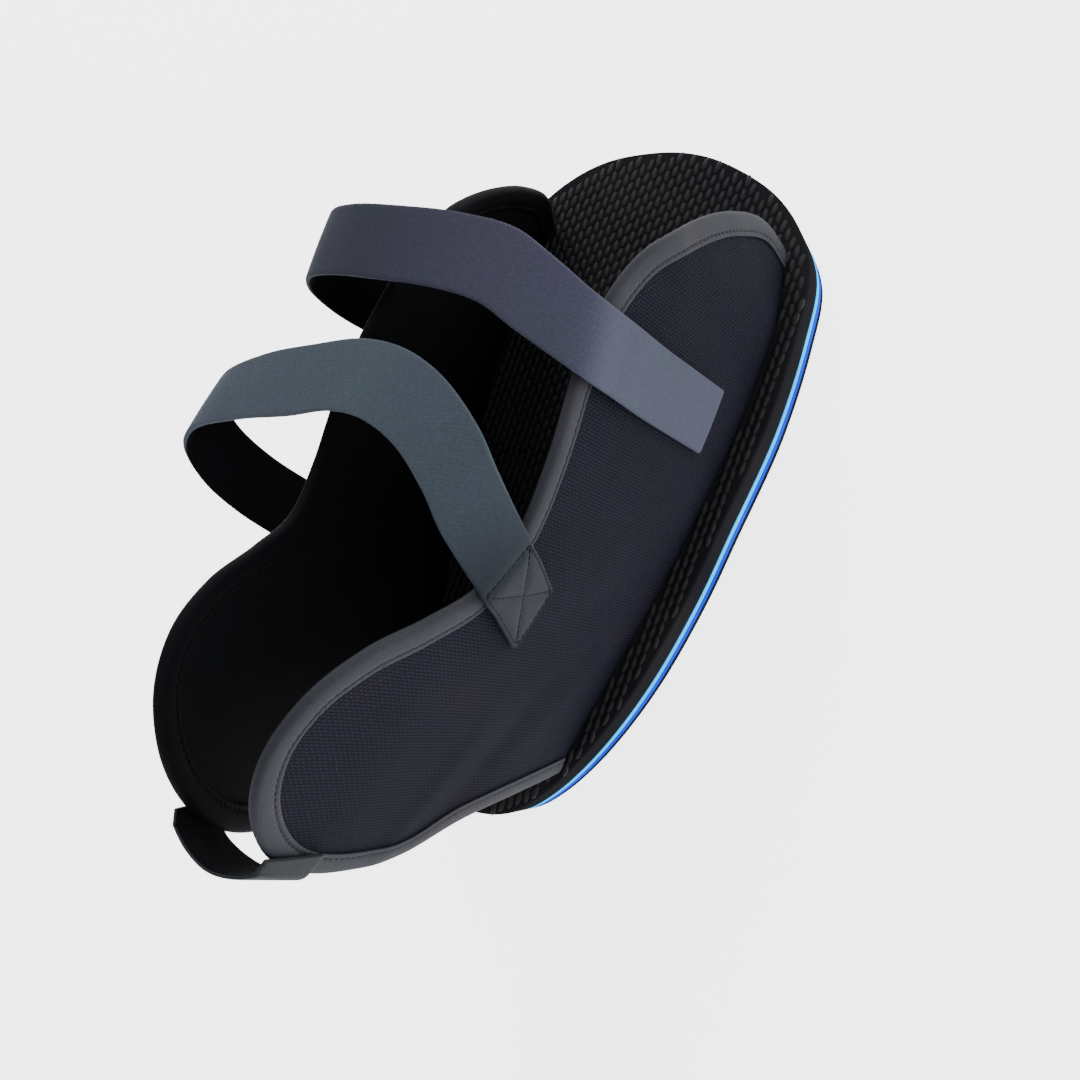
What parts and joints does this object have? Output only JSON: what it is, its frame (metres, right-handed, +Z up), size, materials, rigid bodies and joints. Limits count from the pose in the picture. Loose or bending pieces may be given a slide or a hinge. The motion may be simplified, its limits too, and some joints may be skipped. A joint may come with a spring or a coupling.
{
  "type": "cast shoe",
  "caption": "Open-toed, open-heeled canvas shoe worn over a plaster cast, on a layered foam sole, closed by webbing straps over the throat and behind the heel.",
  "frame": {"origin": "on the floor under the middle of the sole", "axes": "+X to the toe, +Y to the shoe's left, +Z up"},
  "size_m": [0.2882, 0.1686, 0.2004],
  "materials": {
    "black_foam": "matte black foam, embossed on its upper face",
    "blue_foam": "satin blue foam",
    "light_blue_foam": "satin light blue foam",
    "canvas": "matte blue-black plain weave, smooth dark lining inside",
    "edge_tape": "matte grey folded tape",
    "webbing": "slate grey woven hook-and-loop webbing, slight sheen",
    "heel_webbing": "matte black woven band"
  },
  "bodies": {
    "root": {"outsole": "black_foam", "stripe_lower": "blue_foam", "stripe_upper": "light_blue_foam", "top_sole": "black_foam", "upper": "canvas", "binding_right": "edge_tape", "binding_left": "edge_tape", "front_strap": "webbing", "rear_strap": "webbing", "heel_strap": "heel_webbing"}
  },
  "joints": []
}
